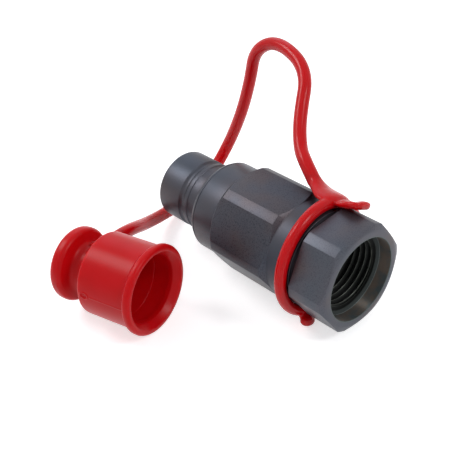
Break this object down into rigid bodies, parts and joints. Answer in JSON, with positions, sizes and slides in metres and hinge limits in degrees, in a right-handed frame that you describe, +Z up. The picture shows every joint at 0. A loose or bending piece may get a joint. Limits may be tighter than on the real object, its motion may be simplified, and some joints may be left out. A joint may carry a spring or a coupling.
{
  "type": "hydraulic quick coupler",
  "caption": "Plug half of a flat-face hydraulic quick coupler: hexagonal body, grooved nose, spring-loaded valve and female port, with a soft dust cap tethered by a ring and lanyard.",
  "frame": {"origin": "centre of the port face, on the coupler's axis", "axes": "+X points along the coupler's axis out of the port, the nose points to -X, +Z is up with a pair of hexagon flats level"},
  "size_m": [0.0808, 0.0837, 0.0539],
  "materials": {
    "plated_steel": "dark blue-grey zinc-nickel plate over fine machining marks",
    "valve_steel": "ground and plated",
    "bright_steel": "turned",
    "spring_steel": "oiled spring steel",
    "bronze": "plain turned",
    "seal_rubber": "matt nitrile rubber",
    "backup_plastic": "plain",
    "red_pvc": "glossy soft PVC"
  },
  "bodies": {
    "coupler": {"nose_body": "plated_steel", "port_adapter": "plated_steel", "seal_backup_front": "backup_plastic", "nose_seal": "seal_rubber", "seal_backup_rear": "backup_plastic", "valve_spring": "spring_steel", "valve_guide": "bright_steel", "guide_bush": "bronze", "guide_retaining_ring": "spring_steel", "body_o_ring": "seal_rubber", "body_backup_ring": "backup_plastic"},
    "valve": {"poppet_head": "valve_steel", "poppet_stem": "bright_steel", "stem_o_ring": "seal_rubber", "stem_lock_nut": "bright_steel", "spring_seat_washer": "bright_steel"},
    "lanyard": {"lanyard_ring": "red_pvc", "lanyard_cord": "red_pvc", "dust_cap": "red_pvc"}
  },
  "joints": [
    {"name": "valve_slide", "type": "slide", "parent": "coupler", "child": "valve", "axis": [1, 0, 0], "range_m": [0, 0.007], "stiffness_N_per_m": 2000, "springref_m": -0.006, "deforming": ["valve_spring"]},
    {"name": "ring_swivel", "type": "hinge", "parent": "coupler", "child": "lanyard", "pos_m": [-0.0137, 0, 0], "axis": [1, 0, 0], "continuous": true}
  ]
}
